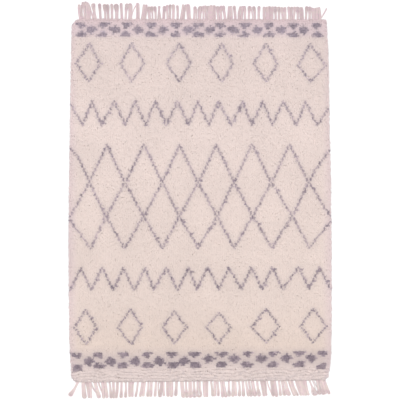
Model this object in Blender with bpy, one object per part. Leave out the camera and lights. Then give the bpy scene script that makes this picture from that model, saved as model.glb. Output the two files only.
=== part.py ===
"""Beni Ourain rug: a knotted wool pile rug with a fringe of warp tassels at each end.

Metres, +Z up. The rug lies flat and face up, with its back on z = 0 and the middle of
its outline over the origin. +Y runs to the head end and +X to the right as one looks
down on the face. Its three pieces are the pile body and the two fringes.
"""

import bpy

# Driving dimensions.
RUG_WIDTH = 1.600  # pile edge to pile edge, at the widest
OVERALL_LENGTH = 2.410  # longest head tassel to longest foot tassel
PILE_THICKNESS = 0.022  # ground weave and pile together
PILE_ROLL = 0.008  # radius of the pile where it rolls over at every edge
TASSEL_THICKNESS = 0.008  # one flattened bunch of warp ends
HEADER_DEPTH = 0.006  # close-woven end band that the tassels leave
NOTCH_DEPTH = 0.002  # how far the band dips between two bunches of tassels
TASSEL_ROUND = 0.005  # corner of a tassel's cut end
GAP = 0.0003  # between the body and a fringe

HALF_WIDTH = RUG_WIDTH / 2
HALF_LENGTH = OVERALL_LENGTH / 2
CORNER_STEPS = 8  # straight runs in one rounded corner
ROLL_STEPS = 2  # points between the ends of the rolled edge's quarter round

# Each end of the pile is one straight line, a little out of square with the sides. Its
# height along Y is given at each side of the rug, from the tip of the longest tassel.
HEAD_LINE = {"left": HALF_LENGTH - 0.103, "right": HALF_LENGTH - 0.108}
FOOT_LINE = {"left": 0.098 - HALF_LENGTH, "right": 0.111 - HALF_LENGTH}

# How far the pile's corners are rounded, along the side and along the end.
HEAD_CORNERS = {"left": 0.055, "right": 0.022}
FOOT_CORNERS = {"left": 0.070, "right": 0.060}

# The sides bow out a little towards the foot. Each row is one place along the rug, by
# its distance from the head end, and how far each side is inside the widest line there.
SIDES = (
    # from_head, left_inset, right_inset
    (0.000, 0.021, 0.030),
    (0.093, 0.019, 0.026),
    (0.239, 0.016, 0.019),
    (0.457, 0.012, 0.017),
    (0.676, 0.009, 0.013),
    (0.894, 0.006, 0.007),
    (1.113, 0.003, 0.004),
    (1.331, 0.000, 0.001),
    (1.623, 0.002, 0.000),
    (1.914, 0.005, 0.001),
    (2.060, 0.011, 0.004),
    (2.133, 0.015, 0.013),
    (2.200, 0.018, 0.021),
)

# One row for each bunch of tassels that hangs together: where it leaves the header,
# where it ends, both across the rug from its middle line, and how far it reaches.
HEAD_TASSELS = (
    # root_left, root_right, tip_left, tip_right, reach
    (-0.735, -0.668, -0.744, -0.672, 0.1032),
    (-0.656, -0.626, -0.662, -0.637, 0.093),
    (-0.615, -0.597, -0.622, -0.600, 0.094),
    (-0.583, -0.553, -0.592, -0.552, 0.093),
    (-0.547, -0.529, -0.547, -0.529, 0.092),
    (-0.521, -0.493, -0.523, -0.493, 0.093),
    (-0.482, -0.467, -0.487, -0.472, 0.097),
    (-0.462, -0.413, -0.458, -0.413, 0.094),
    (-0.390, -0.364, -0.394, -0.368, 0.096),
    (-0.359, -0.297, -0.351, -0.306, 0.092),
    (-0.294, -0.263, -0.298, -0.263, 0.077),
    (-0.257, -0.239, -0.257, -0.239, 0.077),
    (-0.231, -0.213, -0.231, -0.213, 0.079),
    (-0.206, -0.155, -0.204, -0.154, 0.088),
    (-0.146, -0.132, -0.146, -0.130, 0.083),
    (-0.123, -0.052, -0.113, -0.061, 0.091),
    (-0.045, -0.020, -0.042, -0.023, 0.076),
    (-0.014, 0.096, -0.012, 0.092, 0.079),
    (0.103, 0.158, 0.097, 0.152, 0.080),
    (0.163, 0.221, 0.169, 0.217, 0.081),
    (0.227, 0.280, 0.236, 0.278, 0.080),
    (0.290, 0.340, 0.288, 0.338, 0.080),
    (0.347, 0.364, 0.348, 0.367, 0.078),
    (0.382, 0.528, 0.385, 0.524, 0.077),
    (0.534, 0.632, 0.534, 0.623, 0.074),
    (0.638, 0.737, 0.640, 0.731, 0.073),
    (0.741, 0.750, 0.764, 0.772, 0.061),
)
FOOT_TASSELS = (
    # root_left, root_right, tip_left, tip_right, reach
    (-0.753, -0.737, -0.797, -0.768, 0.087),
    (-0.723, -0.694, -0.719, -0.691, 0.0987),
    (-0.688, -0.660, -0.679, -0.657, 0.097),
    (-0.650, -0.612, -0.630, -0.604, 0.097),
    (-0.602, -0.566, -0.592, -0.560, 0.098),
    (-0.559, -0.494, -0.551, -0.501, 0.098),
    (-0.483, -0.467, -0.493, -0.471, 0.097),
    (-0.463, -0.448, -0.463, -0.444, 0.094),
    (-0.439, -0.399, -0.438, -0.407, 0.094),
    (-0.387, -0.374, -0.399, -0.385, 0.090),
    (-0.359, -0.329, -0.370, -0.337, 0.091),
    (-0.322, -0.285, -0.328, -0.290, 0.091),
    (-0.279, -0.260, -0.283, -0.265, 0.091),
    (-0.254, -0.217, -0.256, -0.217, 0.092),
    (-0.209, -0.164, -0.208, -0.163, 0.095),
    (-0.152, -0.134, -0.158, -0.138, 0.088),
    (-0.123, 0.005, -0.114, 0.013, 0.099),
    (0.013, 0.051, 0.018, 0.049, 0.098),
    (0.062, 0.114, 0.066, 0.120, 0.091),
    (0.121, 0.151, 0.126, 0.161, 0.097),
    (0.169, 0.223, 0.169, 0.223, 0.094),
    (0.230, 0.246, 0.231, 0.250, 0.093),
    (0.254, 0.269, 0.255, 0.274, 0.093),
    (0.275, 0.353, 0.281, 0.369, 0.094),
    (0.362, 0.412, 0.381, 0.412, 0.095),
    (0.423, 0.463, 0.432, 0.475, 0.097),
    (0.472, 0.529, 0.483, 0.551, 0.093),
    (0.534, 0.572, 0.563, 0.597, 0.094),
    (0.579, 0.655, 0.605, 0.665, 0.092),
    (0.661, 0.770, 0.675, 0.792, 0.087),
)

# Surface finishes.
WOOL_CREAM = (0.78, 0.67, 0.62, 1.0)
FRINGE_ROSE = (0.70, 0.58, 0.58, 1.0)


def line_at(line, x):
    """The height, along Y, of an end line at a place across the rug."""
    share = (x + HALF_WIDTH) / RUG_WIDTH
    return line["left"] + share * (line["right"] - line["left"])


def rounded_corner(before, corner, after):
    """A corner drawn as one smooth bend from a point before it to a point after it."""
    points = []
    for step in range(CORNER_STEPS + 1):
        t = step / CORNER_STEPS
        weights = ((1 - t) ** 2, 2 * t * (1 - t), t**2)
        columns = zip(before, corner, after)
        points.append(tuple(sum(w * c for w, c in zip(weights, column)) for column in columns))
    return points


def body_outline():
    """The pile's outline, anticlockwise from the foot end of the right-hand side."""
    rows = []
    for from_head, left_inset, right_inset in SIDES:
        left = (left_inset - HALF_WIDTH, HEAD_LINE["left"] - from_head)
        right = (HALF_WIDTH - right_inset, HEAD_LINE["right"] - from_head)
        rows.append((left, right))
    head_left, head_right = rows[0]
    foot_left, foot_right = rows[-1]
    foot_left = (foot_left[0], line_at(FOOT_LINE, foot_left[0]))
    foot_right = (foot_right[0], line_at(FOOT_LINE, foot_right[0]))

    def corner(point, line, radius, inward, along):
        """The bend at one corner: on the side first, then on the end line."""
        on_side = (point[0], point[1] + along * radius)
        end_x = point[0] + inward * radius
        return rounded_corner(on_side, point, (end_x, line_at(line, end_x)))

    right_side = [right for left, right in rows[1:-1]]
    left_side = [left for left, right in rows[1:-1]]
    outline = list(reversed(right_side))
    outline += corner(head_right, HEAD_LINE, HEAD_CORNERS["right"], -1, -1)
    outline += reversed(corner(head_left, HEAD_LINE, HEAD_CORNERS["left"], 1, -1))
    outline += left_side
    outline += corner(foot_left, FOOT_LINE, FOOT_CORNERS["left"], 1, 1)
    outline += reversed(corner(foot_right, FOOT_LINE, FOOT_CORNERS["right"], -1, 1))
    return outline


def comb_outline(tassels, line, outward):
    """A fringe's outline: one header along the end line, with a tooth for each bunch."""
    left = tassels[0][0]
    right = tassels[-1][1]
    outline = [(x, line_at(line, x) + outward * GAP) for x in (right, left)]
    last_root = left
    for root_left, root_right, tip_left, tip_right, reach in tassels:
        notch = (last_root + root_left) / 2
        if notch > left:
            outline.append((notch, line_at(line, notch) + outward * (HEADER_DEPTH - NOTCH_DEPTH)))
        last_root = root_right
        for root, tip, inward in ((root_left, tip_left, 1), (root_right, tip_right, -1)):
            side = [
                (root, line_at(line, root) + outward * HEADER_DEPTH),
                (tip, line_at(line, tip) + outward * (reach - TASSEL_ROUND)),
                (tip + inward * TASSEL_ROUND / 2, line_at(line, tip) + outward * reach),
            ]
            outline += side if inward == 1 else reversed(side)
    return outline


def flat_piece(name, outline, thickness, roll, material, collection):
    """A piece of even thickness with its back on z = 0, its edge rolled by a radius."""
    curve = bpy.data.curves.new(name, "CURVE")
    curve.dimensions = "2D"
    curve.fill_mode = "BOTH"
    curve.extrude = thickness / 2 - roll
    curve.bevel_depth = roll
    curve.bevel_resolution = ROLL_STEPS
    curve.offset = -roll
    spline = curve.splines.new("POLY")
    spline.points.add(len(outline) - 1)
    for point, (x, y) in zip(spline.points, outline):
        point.co = (x, y, 0, 1)
    spline.use_cyclic_u = True
    curve.materials.append(material)
    piece = bpy.data.objects.new(name, curve)
    piece.location.z = thickness / 2
    collection.objects.link(piece)
    return piece


def cloth(name, colour, roughness):
    """A matt textile finish in one base colour."""
    material = bpy.data.materials.new(name)
    material.use_nodes = True
    shader = material.node_tree.nodes["Principled BSDF"]
    shader.inputs["Base Color"].default_value = colour
    shader.inputs["Roughness"].default_value = roughness
    shader.inputs["Metallic"].default_value = 0.0
    return material


for old in list(bpy.data.objects):
    bpy.data.objects.remove(old)

rug = bpy.data.collections.new("beni_ourain_rug")
bpy.context.scene.collection.children.link(rug)

wool = cloth("wool_pile", WOOL_CREAM, 0.95)
warp = cloth("warp_yarn", FRINGE_ROSE, 0.9)

flat_piece("pile_body", body_outline(), PILE_THICKNESS, PILE_ROLL, wool, rug)
flat_piece(
    "head_fringe", comb_outline(HEAD_TASSELS, HEAD_LINE, 1), TASSEL_THICKNESS, 0, warp, rug
)
flat_piece(
    "foot_fringe", comb_outline(FOOT_TASSELS, FOOT_LINE, -1), TASSEL_THICKNESS, 0, warp, rug
)
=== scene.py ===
"""Looks of the Beni Ourain rug: its woven ground, its knotted wool pile and its two fringes.

Metres. The rug lies face up on z = 0, its head end towards +Y, with the same frame as the
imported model. Every knot of the pile is placed on one grid of columns and rows.
"""

import math
from functools import partial

import bpy
import numpy as np
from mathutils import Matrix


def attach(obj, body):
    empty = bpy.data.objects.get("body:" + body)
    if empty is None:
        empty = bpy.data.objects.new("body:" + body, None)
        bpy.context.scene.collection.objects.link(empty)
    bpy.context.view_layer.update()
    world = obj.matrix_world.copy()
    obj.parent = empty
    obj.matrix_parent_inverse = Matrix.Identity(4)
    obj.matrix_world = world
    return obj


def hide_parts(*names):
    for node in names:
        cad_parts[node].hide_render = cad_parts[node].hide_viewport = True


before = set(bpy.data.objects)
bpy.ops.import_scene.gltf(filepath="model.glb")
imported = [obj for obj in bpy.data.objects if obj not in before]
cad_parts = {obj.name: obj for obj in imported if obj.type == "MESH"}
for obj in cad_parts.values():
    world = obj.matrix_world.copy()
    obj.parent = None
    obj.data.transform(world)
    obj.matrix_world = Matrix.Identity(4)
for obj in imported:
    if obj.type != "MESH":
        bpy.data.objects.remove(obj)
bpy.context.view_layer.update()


# ---------------------------------------------------------------------------------------
# The woven ground. A real one is a plain weave of wool on a wool warp, about 4 mm thick,
# made on an upright loom. Between every few weft shoots lies a row of knots, whose collars
# show on the back in the colour of their yarn, so the pattern shows there too.

COLUMNS = 139  # knots in one row, a pair of warps each
ROWS = 183  # rows of knots, from the head end to the foot end
GROUND_THICKNESS = 0.004
SIDE_OVERHANG = 0.008  # how far the pile stands out past the woven edge
HEAD_OVERHANG = 0.004
HALF_WIDTH = 0.800
LENGTH = 2.200

# The outline of the pile: its end lines at the two sides, the rounding of its corners, and
# how far each side lies inside the widest line, by the distance from the head end.
HEAD_LINE = {"left": 1.102, "right": 1.097}
FOOT_LINE = {"left": -1.107, "right": -1.094}
CORNERS = {
    ("head", "left"): 0.092,
    ("head", "right"): 0.022,
    ("foot", "left"): 0.070,
    ("foot", "right"): 0.060,
}
SIDES = (
    # from_head, left_inset, right_inset
    (0.000, 0.021, 0.030),
    (0.093, 0.019, 0.026),
    (0.239, 0.016, 0.019),
    (0.457, 0.012, 0.017),
    (0.676, 0.009, 0.013),
    (0.894, 0.006, 0.007),
    (1.113, 0.003, 0.004),
    (1.331, 0.000, 0.001),
    (1.623, 0.002, 0.000),
    (1.914, 0.005, 0.001),
    (2.060, 0.011, 0.004),
    (2.133, 0.015, 0.013),
    (2.200, 0.018, 0.021),
)

# The chart, counted in knots. A zigzag runs between points on an upper and a lower row. The
# lattice is three of them, one below the other, which share their points.
ZIGZAGS = (
    # upper_row, upper_columns, lower_row, lower_columns
    (
        41,
        (11, 23, 34, 45, 57, 68, 79, 92, 103, 114, 126),
        53,
        (6, 16, 29, 40, 51, 63, 74, 86, 97, 108, 121, 132),
    ),
    (63, (19, 39, 58, 78, 97, 117), 82, (10, 29, 49, 68, 87, 107, 127)),
    (99, (0, 19, 39, 58, 78, 97, 118, 138), 82, (10, 29, 49, 68, 87, 107, 127)),
    (99, (19, 39, 58, 78, 97, 118), 115, (11, 29, 49, 68, 87, 107, 127)),
    (
        125,
        (6, 17, 28, 40, 51, 63, 73, 84, 96, 107, 121, 132),
        136,
        (0, 11, 23, 34, 44, 57, 67, 79, 91, 102, 113, 127, 138),
    ),
)
# Lines that run on from a zigzag's last point to the side of the rug.
LINE_ENDS = (
    # row, column, next_row, next_column
    (53, 6, 43, 0),
    (53, 132, 45, 138),
    (82, 10, 69, 4),
    (69, 4, 65, 0),
    (82, 127, 75, 131),
    (75, 131, 66, 138),
    (115, 11, 101, 0),
    (115, 127, 102, 138),
)
LOZENGES = (
    # top_row, top_column, middle_row, left_column, right_column, bottom_row
    (12, 9, 22, 2, 15, 31),
    (12, 32, 22, 26, 39, 31),
    (12, 58, 22, 51, 64, 31),
    (12, 81, 22, 74, 87, 31),
    (12, 105, 22, 98, 111, 31),
    (12, 129, 23, 122, 137, 31),
    (146, 8, 155, 2, 14, 163),
    (146, 32, 155, 25, 38, 163),
    (147, 55, 155, 49, 62, 163),
    (148, 79, 155, 72, 85, 163),
    (146, 104, 155, 96, 111, 163),
    (146, 129, 155, 122, 136, 163),
)
# The two bands of small motifs, one row of motifs at a time: small lozenges between two rows
# of half ones. Widths are a motif's knots on each of its rows, and columns are its middles.
HEAD_HALVES = (4.5, 16, 29, 42.5, 56, 68, 80.5, 93.5, 107, 120.5, 133)
FOOT_HALVES = (3, 14.5, 27.5, 40.5, 54, 66, 80, 94, 108, 122, 134.5)
MOTIF_ROWS = (
    # first_row, widths, columns
    (2, (6, 5, 2), HEAD_HALVES),
    (3, (1, 5, 6, 4, 1), (10, 22.5, 35.5, 49, 62.5, 74.5, 87.5, 100.5, 113.5, 126)),
    (6, (2, 5, 6), HEAD_HALVES),
    (168, (6, 5, 2), FOOT_HALVES),
    (170, (2, 5, 6, 5, 2), (9, 21, 34, 47, 60)),
    (169, (1, 5, 7, 5, 2), (73, 87, 101.5, 115, 128.5)),
    (173, (4, 6, 6), FOOT_HALVES[1:-1]),
    (174, (4, 6, 5), (FOOT_HALVES[0], FOOT_HALVES[-1])),
)
DOUBLED_SHARE = 0.06  # knots of a thin line with a second one beside them
UNEVEN_WIDTH = 4  # least knots of a motif's row that may have one more or one less
UNEVEN_MIDDLE = 0.6  # knots by which the middle of a motif's row is off
LEFT_OUT_SHARE = 0.25  # outer rows of the small motifs with a cream knot among the grey


def line_at(line, x):
    """The height, along Y, of an end line at a place across the rug."""
    return line["left"] + (x + HALF_WIDTH) / (2 * HALF_WIDTH) * (line["right"] - line["left"])


def on_rug(across, along):
    """Places in the outline, by the share from the left side and from the head end."""
    from_head, left_inset, right_inset = np.array(SIDES).T
    left = np.interp(along * LENGTH, from_head, left_inset) - HALF_WIDTH
    right = HALF_WIDTH - np.interp(along * LENGTH, from_head, right_inset)
    x = left + (right - left) * across
    head, foot = line_at(HEAD_LINE, x), line_at(FOOT_LINE, x)
    y = head + (foot - head) * along
    for (end, side), radius in CORNERS.items():
        to_side, inward = (x - left, 1) if side == "left" else (right - x, -1)
        to_end, down = (head - y, -1) if end == "head" else (y - foot, 1)
        bend = radius * (np.clip(1 - abs(to_end - to_side) / radius, 0, 1) / 2) ** 2
        push = np.maximum(0, bend - np.minimum(to_side, to_end))
        push = np.where(abs(to_end - to_side) < radius, push, 0)
        x = x + inward * push
        y = y + down * push
    return x, y


def charted_knots():
    """Which knots are grey, as a grid of rows and columns."""
    rng = np.random.default_rng(7)
    grey = np.zeros((ROWS, COLUMNS), bool)

    def line(row, column, last_row, last_column):
        for k in range(min(row, last_row), max(row, last_row) + 1):
            share = (k - row) / (last_row - row)
            tied = round(column + share * (last_column - column))
            grey[k, tied] = True
            if rng.random() < DOUBLED_SHARE:
                grey[k, min(tied + 1, COLUMNS - 1)] = True

    def motif(first_row, middle, widths):
        for k, width in enumerate(widths):
            wide = width >= UNEVEN_WIDTH
            width += rng.choice((-1, 0, 0, 0, 1)) if wide else 0
            off = rng.uniform(-UNEVEN_MIDDLE, UNEVEN_MIDDLE)
            first = round(middle - (width - 1) / 2 + off)
            last = min(COLUMNS - 1, first + width - 1)
            grey[first_row + k, max(0, first) : last + 1] = True
            outer_row = k in (0, len(widths) - 1)
            if width >= UNEVEN_WIDTH and outer_row and rng.random() < LEFT_OUT_SHARE:
                grey[first_row + k, rng.integers(max(0, first), last + 1)] = False

    for upper_row, upper, lower_row, lower in ZIGZAGS:
        points = sorted([(c, upper_row) for c in upper] + [(c, lower_row) for c in lower])
        for (c1, r1), (c2, r2) in zip(points, points[1:]):
            line(r1, c1, r2, c2)
    for ends in LINE_ENDS:
        line(*ends)
    for top_row, top_column, middle_row, left_column, right_column, bottom_row in LOZENGES:
        for side in (left_column, right_column):
            line(top_row, top_column, middle_row, side)
            line(middle_row, side, bottom_row, top_column)
    for first_row, widths, columns in MOTIF_ROWS:
        for column in columns:
            motif(first_row, column, widths)
    return grey


def to_linear(hex_colour):
    """An sRGB colour such as "e7d6d0" as the linear values that the shaders take."""
    parts = [int(hex_colour[i : i + 2], 16) / 255 for i in (0, 2, 4)]
    return (*[c / 12.92 if c <= 0.04045 else ((c + 0.055) / 1.055) ** 2.4 for c in parts], 1)


# Blender's names of the kinds of node that are used most. A node of maths adds, and one that
# reads or stores does so with a number at each point, unless its settings say otherwise.
MATHS = "ShaderNodeMath"
MIX = "ShaderNodeMix"
NOISE = "ShaderNodeTexNoise"
SPLIT = "ShaderNodeSeparateXYZ"
SPAN = "ShaderNodeMapRange"
ATTRIBUTE = "ShaderNodeAttribute"


def add(tree, kind, inputs=(), **settings):
    """Adds a node with its settings and its inputs, by their names or in their order. An
    input's value may be a node, or an output, that is linked to it."""
    node = tree.nodes.new(kind)
    for name, value in settings.items():
        setattr(node, name, value)
    given = inputs if isinstance(inputs, dict) else dict(enumerate(inputs))
    for name, value in given.items():
        sockets = enumerate(node.inputs)
        socket = next(s for k, s in sockets if s.enabled and name in (k, s.name))
        if isinstance(value, bpy.types.Node):
            value = next(s for s in value.outputs if s.enabled)
        if isinstance(value, bpy.types.NodeSocket):
            tree.links.new(value, socket)
        else:
            socket.default_value = value
    return node


def new_material(name, values):
    """A node material with the values of some of its shader's sockets, and its adder."""
    material = bpy.data.materials.new(name)
    material.use_nodes = True
    tree = material.node_tree
    for socket, value in values.items():
        tree.nodes["Principled BSDF"].inputs[socket].default_value = value
    return material, partial(add, tree)


def surfaced(material, colour, height, distance, strength):
    """Links a material's colour, and its relief with its depth in metres."""
    tree = material.node_tree
    bump = {"Height": height, "Distance": distance, "Strength": strength}
    bump = add(tree, "ShaderNodeBump", bump)
    for made, socket in ((colour, "Base Color"), (bump, "Normal")):
        output = next(s for s in made.outputs if s.enabled)
        tree.links.new(output, tree.nodes["Principled BSDF"].inputs[socket])
    return material


def placed(name, data):
    """Puts a mesh, a light or a camera in the scene as an object at the origin."""
    made = bpy.data.objects.new(name, data)
    bpy.context.scene.collection.objects.link(made)
    return made


grey_knots = charted_knots()


def ground_mesh():
    """A closed sheet of one quad a knot on each side, with a map that fills half each."""
    across, along = np.meshgrid(np.linspace(0, 1, COLUMNS + 1), np.linspace(0, 1, ROWS + 1))
    side = SIDE_OVERHANG / (2 * HALF_WIDTH)
    head = HEAD_OVERHANG / LENGTH
    x, y = on_rug(side + across * (1 - 2 * side), head + along * (1 - head))
    count = across.size
    back = np.stack((x.ravel(), y.ravel(), np.zeros(count)), 1)
    face = back + (0, 0, GROUND_THICKNESS)
    corner = np.arange(count).reshape(ROWS + 1, COLUMNS + 1)
    quads = (corner[:-1, :-1], corner[:-1, 1:], corner[1:, 1:], corner[1:, :-1])
    quads = np.stack(quads, -1).reshape(-1, 4)
    edge = np.concatenate((corner[0, :-1], corner[:-1, -1], corner[-1, :0:-1], corner[:0:-1, 0]))
    after = np.roll(edge, -1)
    rim = np.stack((edge, after, after + count, edge + count), 1)
    mesh = bpy.data.meshes.new("ground_weave")
    faces = np.concatenate((quads, quads[:, ::-1] + count, rim))
    mesh.from_pydata(np.concatenate((back, face)).tolist(), [], faces.tolist())
    map_points = np.stack((across.ravel() * 0.48, along.ravel() * 0.96 + 0.02), 1)
    map_points = np.concatenate((map_points + (0.01, 0), map_points + (0.51, 0)))
    corners = map_points[faces].reshape(-1, 2)
    rim_corners = corners[-4 * len(rim) :].reshape(-1, 4, 2)
    rim_corners[:, 2:] = rim_corners[:, 1::-1] + (0, 0.004)
    in_knots = np.stack((across.ravel() * COLUMNS, along.ravel() * ROWS), 1)
    in_knots = np.concatenate((in_knots, in_knots))[faces].reshape(-1, 2)
    for name, places in (("OFBake", corners), ("knots", in_knots)):
        mesh.uv_layers.new(name=name).data.foreach_set("uv", places.astype(np.float32).ravel())
    grey = np.zeros(len(faces), np.float32)
    grey[: len(quads)] = grey_knots.ravel()
    mesh.attributes.new("grey_knot", "FLOAT", "FACE").data.foreach_set("value", grey)
    mesh.shade_smooth()
    return mesh


def weave_material():
    """Plain weave of hand-spun wool: it is matt, ribbed across by the weft, and each row of
    knots shows on the back as a line of small loops."""
    values = {"Roughness": 0.92, "Specular IOR Level": 0.2}
    material, node = new_material("plain_wool_weave", values)
    apart = node(SPLIT, (node("ShaderNodeUVMap", uv_map="knots"),))
    waves = []
    # A knot has two warps, and a row of them is followed by four weft shoots.
    for axis, count in (("X", 2), ("Y", 1), ("Y", 4)):
        turned = (apart.outputs[axis], count * math.tau)
        turned = node(MATHS, turned, operation="MULTIPLY")
        waves.append(node(MATHS, (turned,), operation="COSINE"))
    warp, row, weft = waves
    collar = node(SPAN, {"Value": row, "From Min": 0.1, "From Max": -0.3})
    grey = node(ATTRIBUTE, attribute_name="grey_knot").outputs["Fac"]
    grey = node(MATHS, (grey, collar), operation="MULTIPLY")
    place = node("ShaderNodeTexCoord").outputs["Object"]
    tone = node(NOISE, {"Vector": place, "Scale": 90.0, "Detail": 3.0})
    colour = {"Factor": tone, "A": to_linear("cbbab0"), "B": to_linear("dccdc3")}
    colour = {"Factor": grey, "A": node(MIX, colour, data_type="RGBA"), "B": to_linear("90848c")}
    colour = node(MIX, colour, data_type="RGBA")
    relief = node(MATHS, (warp, collar), operation="MULTIPLY")
    for part in (weft, collar):
        relief = node(MATHS, (relief, part))
    return surfaced(material, colour, relief, 0.0006, 0.8)


ground = placed("ground_weave", ground_mesh())
ground.data.materials.append(weave_material())
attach(ground, "root")
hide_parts("pile_body")


# ---------------------------------------------------------------------------------------
# The pile. Each knot is a length of thick hand-spun wool tied round two warps and cut, so
# its ends stand up and lie over towards the foot, and hide the ground. Undyed cream wool
# fills the field, and the grey pattern is tied in among it.

KNOT_ENDS = 8  # visible yarn ends of one knot
END_SPACING = {"cream": 0.00144, "grey": 0.00160}  # between the ends of one knot
ROW_DEPTH = 0.012  # over which the ends of one knot are spread
YARN_HALF_WIDTH = 0.0042
ROOT_HEIGHT = 0.001  # in the weave, which hides the yarn's thin start
PILE_RISE = 0.0198  # of a yarn's tip above its root
PILE_LEAN = 0.020  # of a yarn's tip, towards the foot
SHOWN_SHARE = 0.85  # of the lean: where the part of a tuft that shows lies
HEAD_LEAN = 0.35  # share of the lean in the first row, which has none behind it
HEAD_ROWS = 4  # rows over which the lean grows to its whole
LIP_ROWS = 6  # rows at the foot end that fall over it
WAVE_SPACING = 1.62  # rows from one wavy ridge of the foot end's pile to the next
LIP_LEAN = 0.25  # by which the lean grows over the foot end
LIP_DROP = 0.55  # share of its rise that the pile loses over the foot end
SIDE_ROOM = 0.004  # by which the pile's roots are drawn in at the sides
SIDE_LEAN = 0.004  # of the outermost yarn's tip, out over the side
SIDE_DROP = 0.30  # share of its rise that the outermost pile loses
SIDE_KNOTS = 1.3  # over which the lean over the side fades
HEAD_ROOM = 0.0015  # least that a knot's root is in from the head end
HEAD_DROP = 0.60  # share of its rise that the first row's pile loses
HEAD_DROP_ROWS = 1.1  # over which that loss fades
FOOT_ROOM = 0.0055  # least that the top of a knot's pile is in from the foot end
FOOT_WANDER = 0.0028  # by which that edge wanders in and out
WAVE_SHIFT = 0.0033  # how far the ridges draw the knots together
WAVE_RISE = 0.16  # by which the ridges' rise grows and the hollows' shrinks
SCATTER = (0.0008, 0.0010)  # of the roots, across the rug and along it
WANDER = (1.5, 1.1)  # half turns by which the ridges wander, over wide and narrow patches
UNEVEN_LEAN = 0.12  # from one patch of a few knots to the next
UNEVEN_RISE = 0.05
SIDEWAYS = 0.0035  # of the yarns' tips, over such patches
KNOT_TONE, PATCH_TONE = 0.3, 0.4  # how uneven the wool's tone is from knot to knot and wider
UNEVEN_GREY = 0.27  # how uneven the grey knots' mixture is from knot to knot
AMONG_GREY = 0.25  # by which a grey knot among grey ones is less so
FOOT_EDGE_SHADE = 0.3  # painted shade along the foot edge: grey mixed into the last row
RIDGE_GREY = 0.2  # stray grey wool in the ridges of the foot end, from knot to knot
CREAM_STRIPS = ("left", "near_left", "middle", "near_right", "right")


def smooth_noise(rng, shape, size):
    """Even noise from -1 to 1 over a grid, with patches of about so many knots."""
    grid = rng.uniform(-1, 1, [max(2, round(n / size)) + 1 for n in shape])
    for count in reversed(shape):
        known = np.arange(grid.shape[1])
        asked = np.linspace(0, len(known) - 1, count)
        grid = np.array([np.interp(asked, known, line) for line in grid]).T
    return grid


def smooth_step(t):
    t = np.clip(t, 0, 1)
    return t * t * (3 - 2 * t)


def knot_grid():
    """Root, lean, rise, tone, stray grey with painted shade, and first step of every knot, as one
    grid each.
    """
    rng = np.random.default_rng(11)
    shape = (ROWS, COLUMNS)
    column, row = np.meshgrid(np.arange(COLUMNS), np.arange(ROWS))
    x, y = on_rug((column + 0.5) / COLUMNS, (row + 0.5) / ROWS)
    lean_y = -PILE_LEAN * (HEAD_LEAN + (1 - HEAD_LEAN) * smooth_step(row / HEAD_ROWS))
    lean_y = lean_y * (1 + UNEVEN_LEAN * smooth_noise(rng, shape, 5))
    lip = smooth_step((row - (ROWS - 1 - LIP_ROWS)) / LIP_ROWS)
    lean_y = lean_y * (1 + LIP_LEAN * lip)
    from_left, from_right = column, COLUMNS - 1 - column
    outward = np.exp(-from_right / SIDE_KNOTS) - np.exp(-from_left / SIDE_KNOTS)
    lean_x = SIDE_LEAN * outward + SIDEWAYS * smooth_noise(rng, shape, 4)
    near_side = np.exp(-np.minimum(from_left, from_right))
    rise = PILE_RISE * (1 - SIDE_DROP * near_side) * (1 - LIP_DROP * lip)
    rise = rise * (1 + UNEVEN_RISE * smooth_noise(rng, shape, 3))
    rise = rise * (1 - HEAD_DROP * np.exp(-row / HEAD_DROP_ROWS))
    in_waves = smooth_step((row - (ROWS - 2 - LIP_ROWS)) / 2)
    wander = WANDER[0] * smooth_noise(rng, shape, 11) + WANDER[1] * smooth_noise(rng, shape, 4)
    phase = math.tau * (row / WAVE_SPACING) + math.pi * wander
    y = y + in_waves * WAVE_SHIFT * np.sin(phase)
    rise = rise * (1 + WAVE_RISE * in_waves * np.cos(phase))
    root_x = x * (1 - SIDE_ROOM / HALF_WIDTH) - lean_x * SHOWN_SHARE
    root_x = root_x + rng.normal(0, SCATTER[0], shape)
    root_y = y - lean_y * SHOWN_SHARE + rng.normal(0, SCATTER[1], shape)
    root_y = np.minimum(root_y, line_at(HEAD_LINE, root_x) - HEAD_ROOM)
    wide, narrow = (smooth_noise(rng, (2, COLUMNS), size)[0] for size in (13, 4))
    foot = line_at(FOOT_LINE, root_x) + FOOT_ROOM + FOOT_WANDER * (0.6 * wide + 0.4 * narrow)
    root_y = np.maximum(root_y, foot - lean_y)
    root = np.stack((root_x, root_y, np.full(shape, ROOT_HEIGHT)), -1)
    lean = np.stack((lean_x, lean_y, np.zeros(shape)), -1)
    tone = rng.normal(0, KNOT_TONE, shape) + PATCH_TONE * smooth_noise(rng, shape, 6)
    last_row = smooth_step((row - (ROWS - 2.6)) / 1.6)
    uneven = rng.normal(0, UNEVEN_GREY, shape) * (1 - AMONG_GREY * near_grey())
    # Stray grey fibres from the grey knots around, the uneven mixture of grey knots, and painted
    # shade along the foot edge, which mixes the last row towards grey.
    stray_grey_and_shade = near_grey() + FOOT_EDGE_SHADE * last_row + np.where(grey_knots, uneven, 0)
    stray_grey_and_shade = stray_grey_and_shade + in_waves * rng.normal(0, RIDGE_GREY, shape)
    knots = {"root": root, "lean": lean, "rise": rise, "tone": np.clip(tone, -1, 1)}
    return knots | {"stray_grey_and_shade": stray_grey_and_shade, "start": rng.random(shape)}


def near_grey():
    """How grey the knots around each knot are: they leave stray fibres on it."""
    weights = np.array((1, 4, 6, 4, 1)) / 16
    around = np.pad(grey_knots.astype(float), 2, mode="edge")
    shifts = [(r, c) for r in range(5) for c in range(5)]
    return sum(weights[r] * weights[c] * around[r : r + ROWS, c : c + COLUMNS] for r, c in shifts)


def carry(mesh, attributes):
    """Stores attributes at a mesh's points: numbers, or vectors as rows of three."""
    for name, values in attributes.items():
        values = np.array(values, np.float32)
        kind, field = ("FLOAT_VECTOR", "vector") if values.ndim == 2 else ("FLOAT", "value")
        mesh.attributes.new(name, kind, "POINT").data.foreach_set(field, values.ravel())


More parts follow.
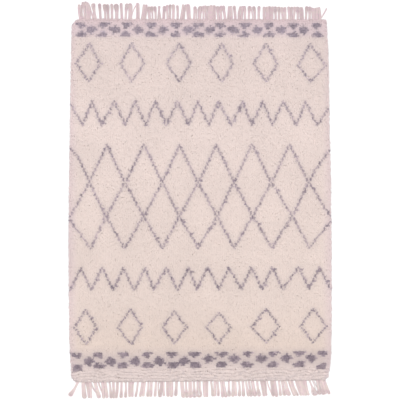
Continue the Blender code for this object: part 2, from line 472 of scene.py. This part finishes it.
def knots_mesh(name, chosen, root, **carried):
    """The chosen knots as points that carry what the tree needs to grow their yarn."""
    mesh = bpy.data.meshes.new(name)
    mesh.from_pydata(root[chosen].tolist(), [], [])
    carry(mesh, {attribute: values[chosen] for attribute, values in carried.items()})
    return mesh


VECTORS = "ShaderNodeVectorMath"
JOIN = "ShaderNodeCombineXYZ"
STORE = "GeometryNodeStoreNamedAttribute"
READ = "GeometryNodeInputNamedAttribute"


def new_tree(name, inputs):
    """A Geometry Nodes tree with its named inputs, its geometry output and its adder."""
    tree = bpy.data.node_groups.new(name, "GeometryNodeTree")
    sockets = {"Geometry": "Geometry", **inputs, "Material": "Material"}
    for socket, kind in sockets.items():
        tree.interface.new_socket(socket, in_out="INPUT", socket_type="NodeSocket" + kind)
    tree.interface.new_socket("Geometry", in_out="OUTPUT", socket_type="NodeSocketGeometry")
    node = partial(add, tree)
    return tree, node, node("NodeGroupInput").outputs


def finished(tree, made, material):
    """Ends a tree: what it made is plain geometry, shaded smooth, in its material."""
    made = add(tree, "GeometryNodeRealizeInstances", (made,))
    made = {"Geometry": made, "Shade Smooth": True}
    made = {"Geometry": add(tree, "GeometryNodeSetShadeSmooth", made), "Material": material}
    add(tree, "NodeGroupOutput", (add(tree, "GeometryNodeSetMaterial", made),))
    return tree


def grown(name, source, tree, values):
    """Runs a tree on a mesh and returns the plain mesh piece that it grows."""
    start = placed(name + "_start", source)
    modifier = start.modifiers.new("grow", "NODES")
    modifier.node_group = tree
    for socket in tree.interface.items_tree:
        if socket.in_out == "INPUT" and socket.name in values:
            modifier[socket.identifier] = values[socket.name]
    seen = bpy.context.evaluated_depsgraph_get()
    mesh = bpy.data.meshes.new_from_object(
        start.evaluated_get(seen), preserve_all_data_layers=True, depsgraph=seen
    )
    mesh.name = name
    bpy.data.objects.remove(start)
    return placed(name, mesh)


def keep_only(piece, names):
    """Removes the attributes that only the tree needed."""
    attributes = piece.data.attributes
    names = (*names, "sharp_face", "material_index")
    spent = [a.name for a in attributes if not a.is_internal and not a.is_required]
    for name in [name for name in spent if name not in names]:
        attributes.remove(attributes[name])


def map_place(node, cell, columns):
    """The column and the row of a numbered place on a bake map."""
    row = node(MATHS, (cell, 0.5))
    row = node(MATHS, (row, columns), operation="DIVIDE")
    row = node(MATHS, (row,), operation="FLOOR")
    before = node(MATHS, (row, columns), operation="MULTIPLY")
    return node(MATHS, (cell, before), operation="SUBTRACT"), row


# How one end of a knot differs from the next: its root's shift, its lean by a share and by a
# shift, its rise by a share, and its turn.
END_VARIATION = (
    # lowest, highest, kind
    ((-0.0008, -0.0008, 0), (0.0008, 0.0008, 0), "FLOAT_VECTOR"),
    (0.92, 1.08, "FLOAT"),
    ((-0.0015, -0.001, 0), (0.0015, 0.001, 0), "FLOAT_VECTOR"),
    (0.96, 1.03, "FLOAT"),
    (0.0, math.tau, "FLOAT"),
)
FAN = 0.3  # share of an end's distance from its knot's middle by which its tip is further
GOLDEN_STEP = 0.618  # spreads the ends of a knot evenly over the depth of their row
TIP_TILT = 0.6  # of the cut across an end


def pile_tree():
    """Grows the cut yarn ends of every knot, which widen and lean over as they rise."""
    inputs = {"Ends per knot": "Int", "End spacing": "Float", "Row depth": "Float"}
    inputs |= {"Half width": "Float", "Map columns": "Int", "Seed": "Int"}
    tree, node, given = new_tree("knotted_pile", inputs)
    read = {}
    for kind, names in (
        ("FLOAT", ("rise", "start", "end_rise", "turn")),
        ("FLOAT_VECTOR", ("lean", "root", "end_lean", "section", "end_map")),
        ("INT", ("cell",)),
    ):
        read |= {name: node(READ, {"Name": name}, data_type=kind) for name in names}
    varied = []
    for number, (low, high, kind) in enumerate(END_VARIATION, 1):
        seed = node(MATHS, (given["Seed"], number))
        values = {"Min": low, "Max": high, "Seed": seed}
        varied.append(node("FunctionNodeRandomValue", values, data_type=kind))
    root_shift, lean_share, lean_shift, rise_share, turn = varied

    ends = {"Geometry": given["Geometry"], "Amount": given["Ends per knot"]}
    ends = node("GeometryNodeDuplicateElements", ends)
    number = ends.outputs["Duplicate Index"]
    middle = node(MATHS, (given["Ends per knot"], 1.0), operation="SUBTRACT")
    middle = node(MATHS, (middle, 0.5), operation="MULTIPLY")
    beside = node(MATHS, (number, middle), operation="SUBTRACT")
    beside = node(MATHS, (beside, given["End spacing"]), operation="MULTIPLY")
    beside = node(JOIN, {"X": beside})
    step = node(MATHS, (number, GOLDEN_STEP, read["start"]), operation="MULTIPLY_ADD")
    step = node(MATHS, (step,), operation="FRACT")
    step = node(MATHS, (step, 0.5), operation="SUBTRACT")
    step = node(MATHS, (step, given["Row depth"]), operation="MULTIPLY")
    step = node(JOIN, {"Y": step})
    step = node(VECTORS, (step, root_shift))
    root = node("GeometryNodeInputPosition")
    for part in (beside, step):
        root = node(VECTORS, (root, part))
    lean = node(VECTORS, {0: read["lean"], "Scale": lean_share}, operation="SCALE")
    fan = node(VECTORS, {0: beside, "Scale": FAN}, operation="SCALE")
    for part in (lean_shift, fan):
        lean = node(VECTORS, (lean, part))
    rise = node(MATHS, (read["rise"], rise_share), operation="MULTIPLY")
    for name, value, kind in (
        ("root", root, "FLOAT_VECTOR"),
        ("end_lean", lean, "FLOAT_VECTOR"),
        ("end_rise", rise, "FLOAT"),
        ("turn", turn, "FLOAT"),
        ("cell", node("GeometryNodeInputIndex"), "INT"),
    ):
        ends = {"Geometry": ends, "Name": name, "Value": value}
        ends = node(STORE, ends, data_type=kind)

    # Four triangles: a point in the weave, three sides that widen, and the cut across them.
    cone = {"Vertices": 3, "Radius Top": 1.0, "Radius Bottom": 0.0, "Depth": 1.0}
    cone = node("GeometryNodeMeshCone", cone, fill_type="NGON")
    end = cone.outputs["Mesh"]
    for name, value, kind, domain in (
        ("end_map", cone.outputs["UV Map"], "FLOAT2", "CORNER"),
        ("section", node("GeometryNodeInputPosition"), "FLOAT_VECTOR", "POINT"),
    ):
        end = {"Geometry": end, "Name": name, "Value": value}
        end = node(STORE, end, data_type=kind, domain=domain)
    ends = node("GeometryNodeInstanceOnPoints", {"Points": ends, "Instance": end})
    ends = node("GeometryNodeRealizeInstances", (ends,))

    along = node(SPLIT, (read["section"],)).outputs["Z"]
    flat = node(VECTORS, (read["section"], (1, 1, 0)), operation="MULTIPLY")
    flat = {"Vector": flat, "Angle": read["turn"]}
    flat = node("ShaderNodeVectorRotate", flat, rotation_type="Z_AXIS")
    flat = node(VECTORS, {0: flat, "Scale": given["Half width"]}, operation="SCALE")
    tilt = node(SPLIT, (flat,)).outputs["Y"]
    for value in (along, TIP_TILT):
        tilt = node(MATHS, (tilt, value), operation="MULTIPLY")
    height = node(MATHS, (2.0, along), operation="SUBTRACT")
    for value in (along, read["end_rise"]):
        height = node(MATHS, (height, value), operation="MULTIPLY")
    height = node(MATHS, (height, tilt))
    height = node(JOIN, {"Z": height})
    bend = node(MATHS, (along, along), operation="MULTIPLY")
    bend = node(VECTORS, {0: read["end_lean"], "Scale": bend}, operation="SCALE")
    place = read["root"]
    for part in (flat, bend, height):
        place = node(VECTORS, (place, part))
    ends = {"Geometry": ends, "Name": "along", "Value": along}
    ends = node(STORE, ends)
    ends = node("GeometryNodeSetPosition", {"Geometry": ends, "Position": place})

    columns = given["Map columns"]
    map_column, map_row = map_place(node, read["cell"], columns)
    end_map = node(SPLIT, (read["end_map"],)).outputs
    u = node(MATHS, (map_column, end_map["X"]))
    v = node(MATHS, (end_map["Y"], 2.0, map_row), operation="MULTIPLY_ADD")
    u, v = (node(MATHS, (part, columns), operation="DIVIDE") for part in (u, v))
    bake_map = node(JOIN, (u, v))
    ends = {"Geometry": ends, "Name": "OFBake", "Value": bake_map}
    ends = node(STORE, ends, data_type="FLOAT2", domain="CORNER")
    return finished(tree, ends, given["Material"])


def colour_down(node, stops):
    """A colour that changes down the rug, with stops at shares of the way from its head."""
    place = node("ShaderNodeTexCoord").outputs["Object"]
    down = {"From Min": LENGTH / 2, "From Max": -LENGTH / 2}
    down["Value"] = node(SPLIT, (place,)).outputs["Y"]
    ramp = node("ShaderNodeValToRGB", (node(SPAN, down),))
    for share, hex_colour in stops[1:-1]:
        ramp.color_ramp.elements.new(share)
    for element, (share, hex_colour) in zip(ramp.color_ramp.elements, stops):
        element.position = share
        element.color = to_linear(hex_colour)
    return place, ramp


def scaled(node, colour, value, span, low, high):
    """A colour made darker or lighter by a value, from low to high over the value's span."""
    inputs = {"Value": value, "From Min": span[0], "From Max": span[1]}
    value = node(SPAN, inputs | {"To Min": low, "To Max": high})
    return node(VECTORS, {0: colour, "Scale": value}, operation="SCALE")


def wool_material(name, stops, side_shade_colour, mixed_colour, lone_share, mixed_share, contrast):
    """Cut pile of hand-spun wool: matt, a little fuzzy, with painted shade down between the yarns
    and at its sides, and uneven in tone from knot to knot and over wide patches, as undyed wool
    is."""
    values = {"Roughness": 0.95, "Specular IOR Level": 0.15}
    values |= {"Sheen Weight": 0.12, "Sheen Roughness": 0.6}
    material, node = new_material(name, values)
    place, colour = colour_down(node, stops)
    tone, along, stray_grey_and_shade = (
        node(ATTRIBUTE, attribute_name=attribute).outputs["Fac"]
        for attribute in ("tone", "along", "stray_grey_and_shade")
    )
    across = node(SPLIT, (place,)).outputs["X"]
    across = node(MATHS, (across,), operation="ABSOLUTE")
    # Painted shade at the sides, where the pile rolls over them: the colour is mixed towards the
    # side colour, which for the cream wool is darker and rosier.
    rim = {"Value": across, "From Min": RIM_START, "From Max": HALF_WIDTH, "To Max": RIM_SHADE_SHARE}
    rim = {"Factor": node(SPAN, rim), "A": colour, "B": to_linear(side_shade_colour)}
    colour = node(MIX, rim, data_type="RGBA")
    patches = node(NOISE, {"Vector": place, "Scale": 3.5, "Detail": 2.0})
    colour = scaled(node, colour, patches, (0.35, 0.65), 0.975, 1.015)
    # The mixture with the other wool: stray fibres, and painted shade that greys the last row
    # along the foot edge.
    stray_grey_and_shade = {"Value": stray_grey_and_shade, "To Min": lone_share, "To Max": mixed_share}
    stray_grey_and_shade = {"Factor": node(SPAN, stray_grey_and_shade), "A": colour, "B": to_linear(mixed_colour)}
    colour = node(MIX, stray_grey_and_shade, data_type="RGBA")
    speckle = node(NOISE, {"Vector": place, "Scale": 190.0, "Detail": 0.0})
    for value, span in ((tone, (-1, 1)), (speckle, (0.3, 0.7))):
        colour = scaled(node, colour, value, span, 1 - contrast, 1 + contrast)
    # Painted shade: each yarn is darker down towards its root, between the others.
    colour = scaled(node, colour, along, (0.2, 0.7), 0.90, 1.0)
    fuzz = node(NOISE, {"Vector": place, "Scale": 900.0, "Detail": 2.0})
    return surfaced(material, colour, fuzz, 0.0008, 0.5)


RIM_START = 0.74  # from the middle line, where the pile begins to lie outwards and its painted side shade begins
RIM_SHADE_SHARE = 0.6  # of the painted side shade's colour, at the side
# The cream wool is rosier and a little darker at the head end, more beige towards the foot,
# and darker in a band just above the foot end.
CREAM_STOPS = (
    (0.0, "e3d0d2"),
    (0.04, "e2d1d3"),
    (0.055, "e4d5d1"),
    (0.13, "e5d6d1"),
    (0.3, "e8d9d4"),
    (0.78, "e6d7d0"),
    (0.90, "e4d4cb"),
    (0.94, "d8c9c5"),
    (0.975, "e6d7d3"),
)
GREY_STOPS = ((0.0, "9e929e"), (0.5, "9b8d98"), (1.0, "877a84"))
# Cream knots beside grey ones, and grey knots that stand alone, are a mixture of the two, and
# the last row is mixed towards grey as painted shade along the foot edge.
cream_wool = wool_material("cream_wool_cut_pile", CREAM_STOPS, "e3d0d5", "a79ba4", 0.0, 0.5, 0.02)
grey_wool = wool_material("grey_wool_cut_pile", GREY_STOPS, "a194a1", "e2cfd0", 0.47, -0.06, 0.24)

knots = knot_grid()
pile = pile_tree()
strip_of_knot = np.repeat([np.arange(COLUMNS) * len(CREAM_STRIPS) // COLUMNS], ROWS, 0)
pile_groups = [
    ("cream", name + "_cream_pile", ~grey_knots & (strip_of_knot == k))
    for k, name in enumerate(CREAM_STRIPS)
]
pile_groups.append(("grey", "grey_pattern_pile", grey_knots))
for seed, (wool, name, chosen) in enumerate(pile_groups):
    piece = grown(
        name,
        knots_mesh(name, chosen, **knots),
        pile,
        {
            "Ends per knot": KNOT_ENDS,
            "End spacing": END_SPACING[wool],
            "Row depth": ROW_DEPTH,
            "Half width": YARN_HALF_WIDTH,
            "Map columns": math.ceil(math.sqrt(chosen.sum() * KNOT_ENDS)),
            "Seed": 100 * seed,
            "Material": cream_wool if wool == "cream" else grey_wool,
        },
    )
    keep_only(piece, ("tone", "along", "stray_grey_and_shade", "OFBake"))
    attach(piece, "root")


# ---------------------------------------------------------------------------------------
# The fringes: the warp ends of the ground, left long at both ends. Each is a thick plied wool
# yarn that comes out of the weave, bends back beside its neighbour and goes in again, so a
# bunch of them ends in round loops. They lie on the floor in loose strands.

YARN_THICKNESS = 0.0042
LEAST_YARN, MOST_YARN = 0.75, 1.1  # of that thickness, in a tight bunch and in a loose one
PRESSED = 1.12  # yarns' thickness by which they fill a tight bunch
START_INSIDE = 0.010  # of a yarn, in the weave
SLACK = 0.0035  # of the outermost loop, past the reach that is given below
ROOT_SPREAD = 0.0013  # of a strand's loops, on each side of what is given below
TIP_SPREAD = 0.0020  # the same at its tip
BUNCH_WIDTH = 0.018  # of nested loops, past which a strand has more than one bunch
BEND_HEIGHT = 0.014  # most that a loop's round end takes of its reach
FLARE_START = 0.45  # share of a strand's length past which it widens to its tip
INNER_LIFT = 0.0004  # of every other loop of a bunch
LIFT_STEP = 0.00015  # between one loop and the next, so that no two that touch are level
LIFT_STEPS = 7
OVERLAP = 0.004  # least width by which one strand lies over another
SUNK = 0.9  # of a yarn's thickness, by which a strand over another lies higher
LEG_POINTS = 7
BEND_POINTS = 5
YARN_SIDES = 6
YARN_MAP_COLUMNS = 3

# One row for each strand, in millimetres: where it leaves the end of the rug, where it ends,
# both across the rug from its middle line, how far it reaches, and where they aren't 0, how
# far its middle bows to the right and the clear gap between its two legs.
MILLIMETRES = 1000  # in a metre
HEAD_STRANDS = (
    # root_left, root_right, tip_left, tip_right, reach, bow, gap
    (-734, -710, -741, -714, 88, -4),
    (-709, -687, -720, -690, 104, 6),
    (-690, -668, -697, -676, 97, 4),
    (-640, -628, -662, -640, 92),
    (-655, -651, -677, -672, 83, 2),
    (-655, -646, -650, -638, 92),
    (-612, -599, -620, -603, 92),
    (-582, -571, -592, -568, 89),
    (-564, -552, -573, -553, 86),
    (-542, -530, -546, -532, 90, 2),
    (-515, -498, -523, -494, 90),
    (-481, -468, -486, -472, 95, -2),
    (-459, -448, -458, -436, 92, -1),
    (-436, -415, -436, -414, 93),
    (-418, -415, -395, -392, 78, -6),
    (-389, -368, -389, -371, 96),
    (-359, -330, -346, -320, 90),
    (-313, -299, -325, -301, 74),
    (-293, -286, -301, -283, 76),
    (-275, -265, -283, -265, 76),
    (-259, -251, -251, -243, 77),
    (-246, -237, -255, -248, 77),
    (-229, -214, -228, -209, 78),
    (-202, -179, -205, -176, 87),
    (-171, -158, -171, -155, 88, 1),
    (-143, -132, -146, -134, 82, 3),
    (-122, -95, -108, -86, 90),
    (-78, -55, -87, -63, 90),
    (-42, -30, -41, -24, 76),
    (-24, -20, -22, -18, 60),
    (-13, 6, -13, 13, 78),
    (15, 23, 12, 27, 80),
    (30, 54, 27, 55, 83),
    (56, 96, 55, 94, 84),
    (106, 133, 97, 135, 81),
    (145, 158, 134, 150, 81, 2),
    (164, 197, 172, 193, 81),
    (207, 221, 200, 215, 81, 1),
    (229, 258, 236, 263, 80),
    (268, 279, 262, 279, 80),
    (291, 302, 290, 310, 80),
    (316, 321, 306, 311, 74, 3),
    (327, 338, 321, 338, 78),
    (351, 363, 350, 365, 79),
    (383, 413, 382, 413, 78),
    (414, 444, 414, 447, 80),
    (454, 465, 447, 469, 77),
    (474, 486, 469, 490, 76),
    (498, 524, 490, 523, 75),
    (535, 574, 534, 581, 79),
    (588, 599, 581, 603, 76),
    (607, 631, 602, 624, 74),
    (639, 649, 640, 656, 79),
    (660, 672, 655, 678, 77),
    (679, 706, 678, 706, 73),
    (707, 735, 706, 731, 74),
    (728, 733, 767, 772, 66),
)
FOOT_STRANDS = (
    # root_left, root_right, tip_left, tip_right, reach, bow, gap
    (-750, -736, -801, -771, 85, 3),
    (-720, -699, -717, -692, 98, -1),
    (-697, -664, -680, -658, 97, 1),
    (-668, -662, -632, -627, 65, -5),
    (-647, -630, -627, -604, 97, -2),
    (-622, -615, -594, -586, 75, -3),
    (-601, -571, -592, -559, 98),
    (-556, -547, -550, -532, 98, 1),
    (-534, -521, -535, -515, 98),
    (-510, -495, -518, -502, 98, 2),
    (-483, -471, -490, -470, 97),
    (-457, -448, -461, -445, 95),
    (-436, -402, -436, -408, 94),
    (-383, -374, -397, -386, 91, 2),
    (-356, -330, -369, -340, 91),
    (-319, -310, -327, -309, 91),
    (-303, -289, -309, -292, 91),
    (-273, -262, -281, -267, 90),
    (-252, -247, -254, -245, 92, -6),
    (-242, -226, -250, -232, 93, 2),
    (-225, -218, -225, -215, 88),
    (-206, -166, -205, -165, 95),
    (-150, -136, -157, -138, 88),
    (-120, -101, -112, -90, 98, -2),
    (-91, -82, -91, -70, 98),
    (-71, -51, -71, -46, 99),
    (-43, -33, -46, -22, 98),
    (-20, 3, -23, 12, 97, 0, 3),
    (16, 49, 21, 48, 98),
    (61, 71, 69, 82, 91, 1),
    (83, 97, 82, 96, 91),
    (99, 110, 104, 118, 91),
    (122, 146, 129, 165, 98),
    (170, 180, 167, 188, 94, -1),
    (194, 219, 192, 223, 95),
    (232, 241, 232, 249, 93, 1),
    (254, 266, 256, 273, 93),
    (275, 284, 283, 301, 93),
    (292, 302, 299, 319, 94),
    (309, 326, 319, 345, 94),
    (340, 351, 346, 369, 94),
    (365, 400, 382, 411, 94),
    (404, 409, 434, 440, 88, -2),
    (427, 459, 436, 473, 97),
    (474, 484, 482, 496, 92),
    (492, 523, 502, 550, 93),
    (534, 557, 563, 581, 93, -2),
    (557, 563, 585, 597, 93, -2),
    (577, 610, 607, 636, 92, -2),
    (611, 645, 636, 664, 92, -2),
    (660, 668, 678, 716, 92),
    (681, 690, 700, 724, 70, 0, 13),
    (706, 733, 716, 758, 88),
    (733, 761, 756, 792, 86),
)


def bunches_of(strand, rng):
    """Splits a strand into bunches of nested loops, each with its own small unevenness."""
    root_left, root_right, tip_left, tip_right, reach, bow, gap = strand
    root_left, root_right = root_left - ROOT_SPREAD, root_right + ROOT_SPREAD
    tip_left, tip_right = tip_left - TIP_SPREAD, tip_right + TIP_SPREAD
    width = (root_right - root_left + tip_right - tip_left) / 2
    count = 1 if gap else max(1, round(width / BUNCH_WIDTH))
    for k in range(count):
        root = [root_left + (root_right - root_left) * share / count for share in (k, k + 1)]
        tip = [tip_left + (tip_right - tip_left) * share / count for share in (k, k + 1)]
        far = reach + SLACK - (rng.uniform(0, 0.004) if count > 1 else 0)
        yield *root, *tip, far, bow + rng.normal(0, 0.0006), gap


def loops_of(bunch):
    """Each loop of a bunch, the outer first: its legs at the root and the tip, its reach."""
    root_left, root_right, tip_left, tip_right, reach, bow, gap = bunch
    width = (root_right - root_left + tip_right - tip_left) / 2 - gap
    pairs = max(1, math.ceil(width / (2.2 * YARN_THICKNESS) - 0.2))
    yarn = max(YARN_THICKNESS * LEAST_YARN, PRESSED * width / (2 * pairs))
    yarn = min(YARN_THICKNESS * MOST_YARN, yarn)
    for k in range(pairs):
        legs = []
        for left, right in ((root_left, root_right), (tip_left, tip_right)):
            inward = max(yarn / 2, ((right - left) - gap) / (2 * pairs) * (k + 0.5))
            inward = min(inward, (right - left) / 2 - 0.3 * yarn)
            legs += [left + inward, right - inward]
        yield legs, reach - yarn * (k + 0.5), yarn, k


def loop_path(legs, reach, bow, level, wave):
    """The way of one yarn: out of the weave on the left, round its end and back in. It is
    given as places across the rug, distances out from its end, and levels over the floor."""
    root_left, root_right, tip_left, tip_right = legs
    half = (tip_right - tip_left) / 2
    bend = min(max(half, 0.001), BEND_HEIGHT)
    out = np.linspace(0, 1, LEG_POINTS)
    sway = bow * 4 * out * (1 - out) + wave[0] * np.sin(math.pi * (out * 1.5 + wave[1])) * out
    angle = np.linspace(0, math.pi, BEND_POINTS + 2)[1:-1]
    root_half = (root_right - root_left) / 2
    share = smooth_step((out - FLARE_START) / (1 - FLARE_START)) if half > root_half else out
    middle = (root_left + root_right) / 2 * (1 - out) + (tip_left + tip_right) / 2 * out + sway
    apart = root_half + (half - root_half) * share
    left, right = middle - apart, middle + apart
    across = [[root_left], left, middle[-1] - half * np.cos(angle), right[::-1], [root_right]]
    leg_out = out * (reach - bend)
    outward = [[-START_INSIDE], leg_out, reach - bend + bend * np.sin(angle), leg_out[::-1]]
    height = level * smooth_step(out / 0.5)
    heights = [[0], height, np.full(len(angle), height[-1]), height[::-1], [0]]
    return [np.concatenate(part) for part in (across, outward + [[-START_INSIDE]], heights)]


def crosses(strand, other):
    """Whether a strand lies over another at its root, half way or its tip."""
    spans = []
    for root_left, root_right, tip_left, tip_right, reach, bow, gap in (strand, other):
        middle = ((root_left + tip_left) / 2 + bow, (root_right + tip_right) / 2 + bow)
        spans.append(((root_left, root_right), middle, (tip_left, tip_right)))
    return any(min(a[1], b[1]) - max(a[0], b[0]) > OVERLAP for a, b in zip(*spans))


def fringe_mesh(name, strands, line, outward, seed):
    """The yarns' ways as chains of edges that carry each yarn's thickness and number."""
    rng = np.random.default_rng(seed)
    strands = [np.array((*strand, 0, 0)[:7]) / MILLIMETRES for strand in strands]
    points, edges, radii, alongs, cells, tones, levels = ([] for k in range(7))
    count = 0
    for strand in strands:
        before = zip(levels, strands)
        under = [level for level, other in before if crosses(strand, other)]
        levels.append(max(under, default=-1) + 1)
        for bunch in bunches_of(strand, rng):
            wave = (rng.normal(0, 0.0012), rng.uniform(0, 2))
            for legs, reach, yarn, k in loops_of(bunch):
                level = levels[-1] * yarn * SUNK
                across, out, height = loop_path(legs, reach, bunch[5], level, wave)
                y = line_at(line, across) + outward * out
                z = yarn / 2 + height + INNER_LIFT * (k % 2) + LIFT_STEP * (count % LIFT_STEPS)
                way = np.stack((across, y, z), 1)
                length = np.linalg.norm(np.diff(way, axis=0), axis=1).cumsum()
                edges += [(len(points) + i, len(points) + i + 1) for i in range(len(way) - 1)]
                points += way.tolist()
                radii += [0, *[yarn / 2] * (len(way) - 2), 0]
                alongs += [0, *length]
                cells += [count] * len(way)
                tones += [rng.uniform(-1, 1)] * len(way)
                count += 1
    mesh = bpy.data.meshes.new(name)
    mesh.from_pydata(points, edges, [])
    carry(mesh, {"yarn_radius": radii, "along": alongs, "cell": cells, "tone": tones})
    return mesh, count, max(alongs)


def yarn_tree():
    """Gives each chain of edges a round yarn, with a map of its length and its girth."""
    inputs = {"Sides": "Int", "Yarns": "Int", "Map columns": "Int", "Longest": "Float"}
    tree, node, given = new_tree("plied_yarn", inputs)
    radius, along, girth, cell = (
        node(READ, {"Name": name})
        for name in ("yarn_radius", "along", "girth", "cell")
    )
    ways = node("GeometryNodeMeshToCurve", {"Mesh": given["Geometry"]})
    # An open ring whose ends meet, so that the map has a seam. Merging closes it at the end.
    points = node(MATHS, (given["Sides"], 1.0))
    ring = {"Resolution": points, "Radius": 1.0, "Sweep Angle": math.tau}
    ring = {"Geometry": node("GeometryNodeCurveArc", ring), "Name": "girth"}
    ring["Value"] = node("GeometryNodeSplineParameter").outputs["Factor"]
    ring = node(STORE, ring)
    yarns = {"Curve": ways, "Profile Curve": ring, "Scale": radius}
    yarns = node("GeometryNodeCurveToMesh", yarns)
    # On the bake map each yarn has a place of its own, with a margin around it.
    columns = given["Map columns"]
    rows = node(MATHS, (given["Yarns"], columns), operation="DIVIDE")
    rows = node(MATHS, (rows,), operation="CEIL")
    column, row = map_place(node, cell, columns)
    u = node(MATHS, (along, given["Longest"]), operation="DIVIDE")
    u = node(MATHS, (u, 0.98, 0.01), operation="MULTIPLY_ADD")
    u = node(MATHS, (column, u))
    u = node(MATHS, (u, columns), operation="DIVIDE")
    v = node(MATHS, (girth, 0.8, 0.1), operation="MULTIPLY_ADD")
    v = node(MATHS, (row, v))
    v = node(MATHS, (v, rows), operation="DIVIDE")
    for name, across, up in (("yarn_map", along, girth), ("OFBake", u, v)):
        yarns = {"Geometry": yarns, "Name": name, "Value": node(JOIN, (across, up))}
        yarns = node(STORE, yarns, data_type="FLOAT2", domain="CORNER")
    yarns = node("GeometryNodeMergeByDistance", {"Geometry": yarns, "Distance": 0.00002})
    return finished(tree, yarns, given["Material"])


PLY_LAY = 0.013  # along a yarn, in which its two plies turn once round each other
ROSIER = (0.99, 0.95, 0.99, 1)
YELLOWER = (1.01, 1.04, 1.0, 1)


def yarn_material():
    """Plied wool warp yarn: matt, with the slanting grooves of its two plies, and painted shade
    that makes the grooves darker than the swell between them."""
    values = {"Roughness": 0.92, "Specular IOR Level": 0.15}
    values |= {"Sheen Weight": 0.08, "Sheen Roughness": 0.6}
    material, node = new_material("plied_wool_warp_yarn", values)
    place, colour = colour_down(node, ((0.0, "ddc9cc"), (0.5, "ddc9cc"), (1.0, "e8d6d5")))
    apart = node(SPLIT, (node("ShaderNodeUVMap", uv_map="yarn_map"),)).outputs
    turned = node(MATHS, (apart["X"], 2 * math.tau / PLY_LAY), operation="MULTIPLY")
    around = node(MATHS, (apart["Y"], 2 * math.tau, turned), operation="MULTIPLY_ADD")
    ply = node(MATHS, (around,), operation="COSINE")
    # Painted shade in the ply grooves, a little lighter on the swell between them.
    colour = scaled(node, colour, ply, (-1, 1), 0.90, 1.02)
    tone = node(ATTRIBUTE, attribute_name="tone").outputs["Fac"]
    colour = scaled(node, colour, tone, (-1, 1), 0.90, 1.08)
    # Warps from two spinnings lie side by side, one a little rosier and one yellower. These
    # are factors, not colours.
    batch = node(NOISE, {"Vector": place, "Scale": 60.0, "Detail": 1.0})
    batch = {"Value": batch, "From Min": 0.35, "From Max": 0.65}
    batch = {"Factor": node(SPAN, batch), "A": ROSIER, "B": YELLOWER}
    batch = node(MIX, batch, data_type="RGBA")
    colour = node(VECTORS, (colour, batch), operation="MULTIPLY")
    fuzz = node(NOISE, {"Vector": place, "Scale": 1200.0, "Detail": 2.0})
    relief = node(MATHS, (fuzz, 0.4, ply), operation="MULTIPLY_ADD")
    return surfaced(material, colour, relief, 0.0004, 0.8)


warp_yarn = yarn_material()
yarn_maker = yarn_tree()
ends = (("head", HEAD_STRANDS, HEAD_LINE, 1), ("foot", FOOT_STRANDS, FOOT_LINE, -1))
for seed, (end, strands, line, outward) in enumerate(ends):
    ways, count, longest = fringe_mesh(end + "_yarns", strands, line, outward, seed)
    piece = grown(
        end + "_fringe_yarns",
        ways,
        yarn_maker,
        {
            "Sides": YARN_SIDES,
            "Yarns": count,
            "Map columns": YARN_MAP_COLUMNS,
            "Longest": float(longest),
            "Material": warp_yarn,
        },
    )
    keep_only(piece, ("yarn_map", "tone", "OFBake"))
    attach(piece, "root")
    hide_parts(end + "_fringe")


# ---------------------------------------------------------------------------------------
# Floor, light and camera: a plain pale floor, one wide soft light from straight above with
# an even surround, and a long lens that looks straight down on the rug's face.

FLOOR_HALF = 14.0
FLOOR_DROP = 0.0005  # below the rug's back, so that the two don't flicker
floor_mesh = bpy.data.meshes.new("floor")
signs = ((-1, -1), (1, -1), (1, 1), (-1, 1))
floor_corners = [(sx * FLOOR_HALF, sy * FLOOR_HALF, -FLOOR_DROP) for sx, sy in signs]
floor_mesh.from_pydata(floor_corners, [], [(0, 1, 2, 3)])
floor = placed("floor", floor_mesh)
# Matt white paint, which gives back the light evenly.
paint = {"Base Color": to_linear("f8f8f8"), "Roughness": 0.9}
floor_mesh.materials.append(new_material("matt_white_floor_paint", paint)[0])

SURROUND_LIGHT = 0.40
OVERHEAD_LIGHT = 0.78 * math.pi  # which a white floor gives back as 0.78
OVERHEAD_SPREAD = math.radians(50)
world = bpy.data.worlds.new("even_surround")
world.use_nodes = True
background = world.node_tree.nodes["Background"].inputs
background["Color"].default_value = (1, 1, 1, 1)
background["Strength"].default_value = SURROUND_LIGHT
bpy.context.scene.world = world
overhead = bpy.data.lights.new("overhead_softbox", "SUN")
overhead.energy = OVERHEAD_LIGHT
overhead.angle = OVERHEAD_SPREAD
placed("overhead_softbox", overhead).location = (0, 0, 4)

PICTURE_WIDTH = 400  # pixels
PIXEL = 0.00607  # what one takes in, at the height of the pile
PICTURE_CENTRE = (-0.0006, 0.0006)
PILE_TOP = 0.018
camera_data = bpy.data.cameras.new("camera")
camera_data.lens = 135
camera_data.sensor_width = 36
camera_data.clip_end = 60
camera = placed("camera", camera_data)
distance = PICTURE_WIDTH * PIXEL * camera_data.lens / camera_data.sensor_width
camera.location = (*PICTURE_CENTRE, PILE_TOP + distance)
bpy.context.scene.camera = camera
bpy.context.scene.view_settings.view_transform = "Standard"
